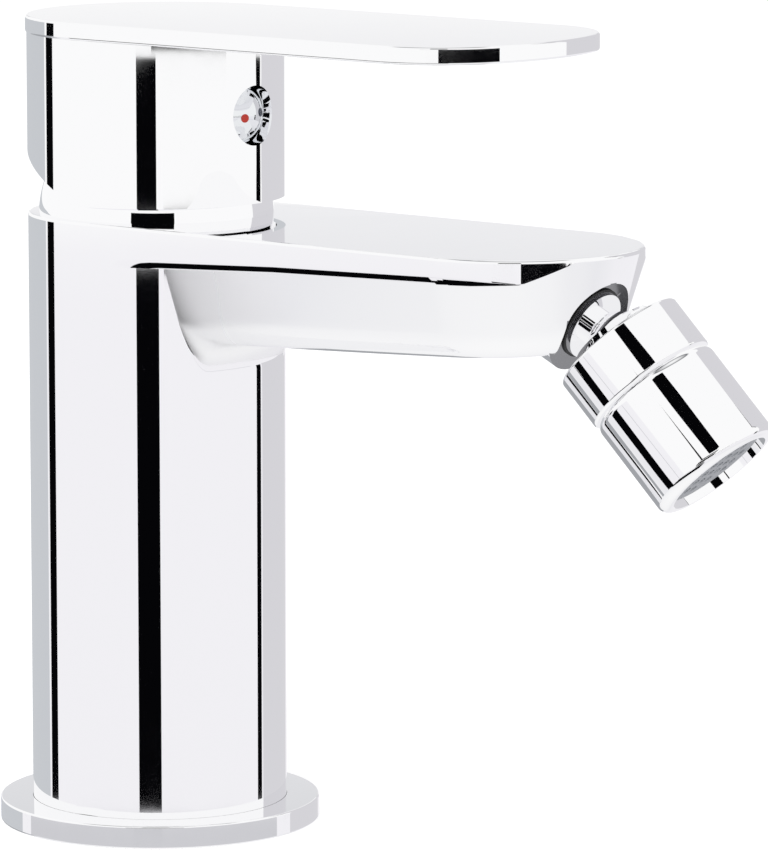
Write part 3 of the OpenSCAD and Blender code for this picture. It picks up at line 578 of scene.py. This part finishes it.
# Satin chrome in the throat under the spout, which the buffing wheel hardly reaches: soft
# grey at the column, and a mirror again towards the tip.
THROAT_FROM, THROAT_TO, THROAT_DULL, THROAT_FACING = 15.0, 52.0, 0.42, -0.1
THROAT_TOP, THROAT_OVER = BODY_TOP - BAND_DEPTH - 0.9, 0.05
throat = (THROAT_FROM, THROAT_TO, THROAT_DULL)
casting.data.materials.append(
    chrome_finish("chrome_plate_satin", "#fafafb", 0.012, 0.028, throat))
for face in casting.data.polygons:
    middle = face.center
    outside = math.hypot(middle.x, middle.y) > (COLUMN_R - THROAT_OVER) * MM
    under = middle.z < THROAT_TOP * MM + SPOUT_RISE * middle.x
    if outside and under and middle.x < THROAT_TO * MM and face.normal.z < THROAT_FACING:
        face.material_index = 2


# Base ring
# A turned brass ring under the column, chrome plated, with both outer edges rounded.
# Its collar centres it in the column's foot and a groove below holds the gasket.
RING_R, RING_H, RING_FLOOR, RING_EDGE = 28.25, 4.0, 2.0, 0.3
SEAT_BORE_R, COLLAR_R, BORE_R, COLLAR_H = 22.55, 18.4, 17.0, 6.0
GROOVE_OUT, GROOVE_IN, GROOVE_H = 26.05, 20.95, 1.0


def eased(points, radius, picked, segments=4):
    """A closed profile whose picked corners are rounded, as a list of (radius, height) points."""
    bm = bmesh.new()
    verts = [bm.verts.new((r, 0, z)) for r, z in points]
    bm.faces.new(verts)
    bmesh.ops.bevel(bm, geom=[verts[i] for i in picked], offset=radius, offset_type="OFFSET",
                    segments=segments, profile=0.5, affect="VERTICES", material=-1)
    face = max(bm.faces, key=lambda f: f.calc_area())
    outline = [(vert.co.x, vert.co.z) for vert in face.verts]
    bm.free()
    return outline


ring = [(BORE_R, 0), (GROOVE_IN, 0), (GROOVE_IN, GROOVE_H), (GROOVE_OUT, GROOVE_H),
        (GROOVE_OUT, 0), (RING_R, 0), (RING_R, RING_H), (SEAT_BORE_R, RING_H),
        (SEAT_BORE_R, RING_FLOOR), (COLLAR_R, RING_FLOOR), (COLLAR_R, COLLAR_H),
        (BORE_R, COLLAR_H)]
ring_edges = (ring.index((RING_R, 0)), ring.index((RING_R, RING_H)))
foot_ring = turned_object("foot_ring", eased(ring, RING_EDGE, ring_edges), 160, closed=True)
dress(foot_ring, chrome, "column", "base_ring")


# Dome ring
# The domed cover ring over the cartridge nut, pressed brass, chrome plated.
# The lever's cap swings over it when the water is turned on.
DOME_R, DOME_IN_R, DOME_MIDDLE, DOME_TOP, DOME_LINES = 20.65, 18.65, 107.2, 117.0, 12


def dome_arc(radius, from_z, to_z):
    """Points on a ball about the dome's middle, from one height to another."""
    low, high = (math.asin((z - DOME_MIDDLE) / radius) for z in (from_z, to_z))
    turns = [low + (high - low) * i / DOME_LINES for i in range(DOME_LINES + 1)]
    return [(radius * math.cos(t), DOME_MIDDLE + radius * math.sin(t)) for t in turns]


dome = dome_arc(DOME_R, BODY_TOP, DOME_TOP) + dome_arc(DOME_IN_R, DOME_TOP, BODY_TOP)
dress(turned_object("dome_cover", dome, 160, closed=True), chrome, "column", "dome_ring")


# Lever
# One zinc casting, polished and chrome plated: a round cap over the cartridge and a flat
# plate that reaches out over the spout. A grub screw behind the index plug holds it.
CAP_R, CAP_IN_R, CAP_FOOT, CAP_ROOF, LEVER_TOP = 22.55, 21.0, 110.9, 139.0, 142.8
CAP_TAPER, CAP_UNDER = 1.5, 5
PLATE_T, PLATE_HALF, PLATE_REAR_X, PLATE_EDGE, PLATE_LEAN = 3.0, 25.0, 3.0, 0.4, 1.00016
PLATE_CORNER_X, PLATE_CORNER_Y, PLATE_NOSE_X = 69.4, 8.0, 45.4
PLATE_FOOT = LEVER_TOP - PLATE_T


def swung(bm, vert, x, y, angle, steps):
    """Swings a vertex about an upright axis and returns the last vertex of its arc."""
    bmesh.ops.spin(bm, geom=[vert], cent=(x, y, vert.co.z), axis=(0, 0, 1), angle=angle,
                   steps=steps)
    bm.verts.ensure_lookup_table()
    return bm.verts[len(bm.verts) - 1]


def plate_outline(bm, z):
    """The plate from above: a rear half circle, straight sides, round corners, an arched nose."""
    tip_turn = math.atan2(PLATE_CORNER_Y, PLATE_CORNER_X - PLATE_NOSE_X)
    rear = bm.verts.new((PLATE_REAR_X - PLATE_HALF, 0, z))
    side = swung(bm, rear, PLATE_REAR_X, 0, math.pi / 2, steps=48)
    corner = bm.verts.new((PLATE_CORNER_X, -PLATE_HALF, z))
    bm.edges.new((side, corner))
    nose = swung(bm, corner, PLATE_CORNER_X, -PLATE_CORNER_Y, math.pi / 2 - tip_turn, steps=24)
    swung(bm, nose, PLATE_NOSE_X, 0, tip_turn, steps=12)
    bmesh.ops.mirror(bm, geom=[*bm.verts, *bm.edges], axis="Y", merge_dist=WELD_WIDE)
    bmesh.ops.remove_doubles(bm, verts=bm.verts, dist=WELD_WIDE)
    return bmesh.ops.contextual_create(bm, geom=bm.edges)["faces"]


# The plate: its outline raised, its sides leaning a hair outwards, and its edges rounded.
bm = bmesh.new()
raised = bmesh.ops.extrude_face_region(bm, geom=plate_outline(bm, PLATE_FOOT))["geom"]
bmesh.ops.translate(bm, vec=(0, 0, LEVER_TOP - PLATE_FOOT),
                    verts=[g for g in raised if isinstance(g, bmesh.types.BMVert)])
bmesh.ops.recalc_face_normals(bm, faces=bm.faces)
bmesh.ops.scale(bm, vec=(PLATE_LEAN, PLATE_LEAN, 1),
                space=Matrix.Translation((-PLATE_NOSE_X, 0, 0)),
                verts=[vert for vert in bm.verts if abs(vert.co.z - PLATE_FOOT) < WELD])
level_edges = [edge for edge in bm.edges
               if abs(edge.verts[0].co.z - edge.verts[1].co.z) < WELD]
bmesh.ops.bevel(bm, geom=level_edges, offset=PLATE_EDGE, offset_type="OFFSET", segments=4,
                profile=0.5, affect="EDGES", material=-1)
lever = mesh_object(bm, "handle_lever")

# The cap, hollow below, and cut away at the rear so that the lever can tilt.
REAR_CUT_X, REAR_CUT_TILT, REAR_CUT_SIZE = 0.7, math.radians(25), 90
cap = [(0, CAP_FOOT), (CAP_R, CAP_FOOT), (CAP_R, LEVER_TOP - PLATE_EDGE),
       (CAP_R - CAP_TAPER, LEVER_TOP - PLATE_EDGE / 2), (0, LEVER_TOP - PLATE_EDGE / 2)]
cut(lever, turned_object("cap", cap, 256), "UNION")
cap_hollow = rod(CAP_IN_R, CAP_FOOT - CAP_UNDER, CAP_ROOF)
cut(lever, turned_object("cap_hollow", cap_hollow, 160), "DIFFERENCE")
bm = bmesh.new()
to_corner = Matrix.Translation((-REAR_CUT_SIZE / 2, 0, -REAR_CUT_SIZE / 2))
bmesh.ops.create_cube(bm, size=1, matrix=to_corner @ Matrix.Diagonal((*[REAR_CUT_SIZE] * 3, 1)))
rear_place = (Matrix.Translation((REAR_CUT_X, 0, CAP_FOOT))
              @ Matrix.Rotation(REAR_CUT_TILT, 4, "Y"))
cut(lever, mesh_object(bm, "rear_cut", rear_place), "DIFFERENCE")

# Inside the cap: the boss over the spindle, and the rib with the hole for the index plug.
INDEX = Matrix.Translation((0, 0, 126.2)) @ Matrix.Rotation(math.pi / 2, 4, "Y")
INDEX_HOLE_R, INDEX_SEAT, INDEX_OVER = 5.2, 18.55, 3
BOSS_R, BOSS_FOOT, BOSS_INTO, RIB_R, RIB_SHORT = 6.95, 118.5, 0.5, 6.4, 1.2
cut(lever, turned_object("boss", rod(BOSS_R, BOSS_FOOT, CAP_ROOF + BOSS_INTO), 64), "UNION")
cut(lever, turned_object("rib", rod(RIB_R, 0, CAP_R - RIB_SHORT), 64, INDEX), "UNION")
index_hole = rod(INDEX_HOLE_R, INDEX_SEAT, CAP_R + INDEX_OVER)
cut(lever, turned_object("index_hole", index_hole, 96, INDEX), "DIFFERENCE")
dress(lever, chrome, "handle", "lever")


# Index plug and its dots
# A domed plastic plug with a chrome finish, pushed into the hole over the grub screw.
# A red and a blue dot of paint mark hot and cold.
PLUG_R, PLUG_FACE_R, PLUG_FACE_X, PLUG_SHANK_R, PLUG_SHANK_L = 5.05, 6.2, 16.15, 2.4, 2.4
PLUG_LINES = 16
# Chromed ABS: a shade darker and softer than plate on metal.
plug_chrome = chrome_finish("chromed_abs", "#eceef0", 0.03, 0.06)
plug_turn = math.asin(PLUG_R / PLUG_FACE_R)
plug = []
for i in range(PLUG_LINES + 1):
    turn = plug_turn * i / PLUG_LINES
    plug.append((PLUG_FACE_R * math.sin(turn), PLUG_FACE_X + PLUG_FACE_R * math.cos(turn)))
plug += [(PLUG_R, INDEX_SEAT), (PLUG_SHANK_R, INDEX_SEAT),
         (PLUG_SHANK_R, INDEX_SEAT - PLUG_SHANK_L), (0, INDEX_SEAT - PLUG_SHANK_L)]
index_button = turned_object("index_button", plug, 96, INDEX)
dress(index_button, plug_chrome, "handle", "index_plug")


def grained(name, colour, shade, grain_mm, rough, metal=0.0):
    """A material whose colour and gloss drift a little over a grain of a stated size."""
    bump_mm, spread = 0.004, 0.08
    material = bare_material(name)
    tree = material.node_tree
    place = add_node(tree, "ShaderNodeTexCoord")
    grain = add_node(tree, "ShaderNodeTexNoise", {"Vector": (place, "Object")},
                     {"Scale": 1 / (grain_mm * MM), "Detail": 4.0})
    tint = add_node(tree, "ShaderNodeMix", {"Factor": (grain, "Fac")},
                    {"A": linear(colour), "B": linear(shade)}, data_type="RGBA")
    gloss = add_node(tree, "ShaderNodeMapRange", {"Value": (grain, "Fac")},
                     {"To Min": rough - spread, "To Max": rough + spread})
    dent = add_node(tree, "ShaderNodeBump", {"Height": (grain, "Fac")},
                    {"Strength": 0.3, "Distance": bump_mm * MM})
    skin = add_node(tree, "ShaderNodeBsdfPrincipled",
                    {"Base Color": (tint, "Result"), "Roughness": (gloss, "Result"),
                     "Normal": (dent, "Normal")}, {"Metallic": metal})
    add_node(tree, "ShaderNodeOutputMaterial", {"Surface": (skin, "BSDF")})
    return material


def finish_node(material, *names, mirrored=True):
    """Gives CAD nodes that stay their finish. Mirrored: whether the chrome shows them."""
    for name in names:
        nodes[name].visible_glossy = mirrored
        nodes[name].data.materials.clear()
        nodes[name].data.materials.append(material)


# Enamel: small glossy drops of paint, a little uneven in colour.
finish_node(grained("red_enamel", "#e8402c", "#d8331f", 0.6, 0.3), "hot_dot")
finish_node(grained("blue_enamel", "#1b2a44", "#141f35", 0.6, 0.3), "cold_dot")


# Cartridge
# Inside the column: ceramic discs in a plastic cartridge, a steel spindle and pin, and
# the brass nut that holds it down. None of it shows when the mixer is whole.
# Moulded acetal: milky white and half matt.
acetal = grained("white_acetal", "#e6e4de", "#d8d6cf", 1.5, 0.45)
finish_node(acetal, "cartridge_foot", "cartridge_housing", "disc_carrier", "rotor")
# Lapped alumina: warm white, smooth and glossy.
alumina = grained("lapped_alumina", "#f1efe9", "#e7e4dc", 0.8, 0.18)
finish_node(alumina, "fixed_disc", "moving_disc")
# Turned steel and machined brass: bare metal with a soft shine and a fine grain.
steel = grained("turned_steel", "#c9cbcd", "#b6b8bb", 0.5, 0.3, metal=1.0)
finish_node(steel, "spindle", "pivot_pin", "grub_screw")
brass = grained("machined_brass", "#cfae6a", "#bd9a55", 0.6, 0.32, metal=1.0)
finish_node(brass, "cartridge_nut")
# Moulded nitrile: matt black rubber.
rubber = grained("moulded_nitrile", "#1b1b1c", "#262627", 0.5, 0.6)
finish_node(rubber, "port_seals", "deck_gasket")
finish_node(rubber, "seat_seal", mirrored=False)


# Ball nipple
# The turned brass nipple in the spout's seat, chrome plated: a thread, a flange, a short
# neck and the ball that the spray head swivels on.
NIPPLE_WAY_R, NIPPLE_THREAD_R, NIPPLE_THREAD_L, SEAL_T = 1.9, 4.9, 8.0, 0.7
FLANGE_R, FLANGE_T, NECK_R, BALL_OUT, BALL_R, BALL_LINES = 6.0, 0.9, 3.2, 7.4, 5.5, 24
neck_turn, mouth_turn = math.asin(NECK_R / BALL_R), math.asin(NIPPLE_WAY_R / BALL_R)
nipple = [(NIPPLE_WAY_R, -NIPPLE_THREAD_L), (NIPPLE_THREAD_R, -NIPPLE_THREAD_L),
          (NIPPLE_THREAD_R, SEAL_T), (FLANGE_R, SEAL_T), (FLANGE_R, SEAL_T + FLANGE_T),
          (NECK_R, SEAL_T + FLANGE_T)]
for i in range(BALL_LINES + 1):
    turn = math.pi - neck_turn - (math.pi - neck_turn - mouth_turn) * i / BALL_LINES
    nipple.append((BALL_R * math.sin(turn), BALL_OUT + BALL_R * math.cos(turn)))
swivel_nipple = turned_object("swivel_nipple", nipple, 128, SEAT, closed=True)
dress(swivel_nipple, chrome, "nipple", "ball_nipple")


# Spray head: ball housing and aerator shell
# Two turned brass sleeves, chrome plated. The housing holds the ball in its cup, and the
# shell screws on below it and keeps the aerator in place.
BALL_PLACE = Vector((101.051, 0, 93.356))
HEAD_AXIS = Vector((0.667273, 0.105686, -0.737277))
HEAD = Matrix.Translation(BALL_PLACE) @ HEAD_AXIS.to_track_quat("Z", "Y").to_matrix().to_4x4()
HOUSING_R, HOUSING_S, SHELL_S, HOUSING_EDGE = 11.65, -0.6, 8.8, 0.5
CONE_S, CONE_TOP_R, CONE_FOOT_R = -2.4, 7.2, 8.6
SOCKET_R, SOCKET_LINES, CUP_S, CUP_R, SPIGOT_R, SPIGOT_END = 5.53, 12, 1.2, 7.2, 9.85, 12.3
housing = [(CONE_TOP_R, CONE_S), (CONE_FOOT_R, HOUSING_S), (HOUSING_R, HOUSING_S),
           (HOUSING_R, SHELL_S), (SPIGOT_R, SHELL_S), (SPIGOT_R, SPIGOT_END),
           (CUP_R, SPIGOT_END), (CUP_R, CUP_S)]
housing_edges = (housing.index((HOUSING_R, HOUSING_S)), housing.index((HOUSING_R, SHELL_S)))
socket_top, socket_end = math.acos(CONE_S / SOCKET_R), math.acos(CUP_S / SOCKET_R)
for i in range(SOCKET_LINES + 1):
    turn = socket_end + (socket_top - socket_end) * i / SOCKET_LINES
    housing.append((SOCKET_R * math.sin(turn), SOCKET_R * math.cos(turn)))
housing = eased(housing, HOUSING_EDGE, housing_edges)
swivel_housing = turned_object("swivel_housing", housing, 160, HEAD, closed=True)
dress(swivel_housing, chrome, "spray_head", "ball_housing", mirrored=False)

SHELL_R, SHELL_END, SHELL_EDGE, MOUTH_R = 11.5, 27.3, 1.5, 9.35
SHELL_BORE_R, SCREEN_END = 9.9, 25.8
shell = [(SHELL_BORE_R, SHELL_S), (SHELL_R, SHELL_S), (SHELL_R, SHELL_END), (MOUTH_R, SHELL_END),
         (MOUTH_R, SCREEN_END), (SHELL_BORE_R, SCREEN_END)]
shell_edges = (shell.index((SHELL_R, SHELL_S)), shell.index((SHELL_R, SHELL_END)))
shell = eased(shell, SHELL_EDGE, shell_edges, segments=6)
spray_shell = turned_object("spray_shell", shell, 160, HEAD, closed=True)
dress(spray_shell, chrome, "spray_head", "aerator_shell", mirrored=False)


# Aerator and ball seat
# Inside the head: the plastic cup and ring that press on the ball, then the washer, the
# cage, the flow disc and the pierced steel screen at the outlet.
# Grey acetal: half matt, like the cartridge's. Pierced steel: grey, with a dull shine.
grey_acetal = grained("grey_acetal", "#c4c6c9", "#b2b5b9", 1.2, 0.45)
finish_node(grey_acetal, "ball_cup", "pressure_ring", "aerator_cage", "flow_disc", mirrored=False)
finish_node(rubber, "aerator_washer", mirrored=False)
pierced_steel = grained("pierced_steel", "#a9acb1", "#8e9197", 0.8, 0.38, metal=1.0)
finish_node(pierced_steel, "aerator_screen", mirrored=False)
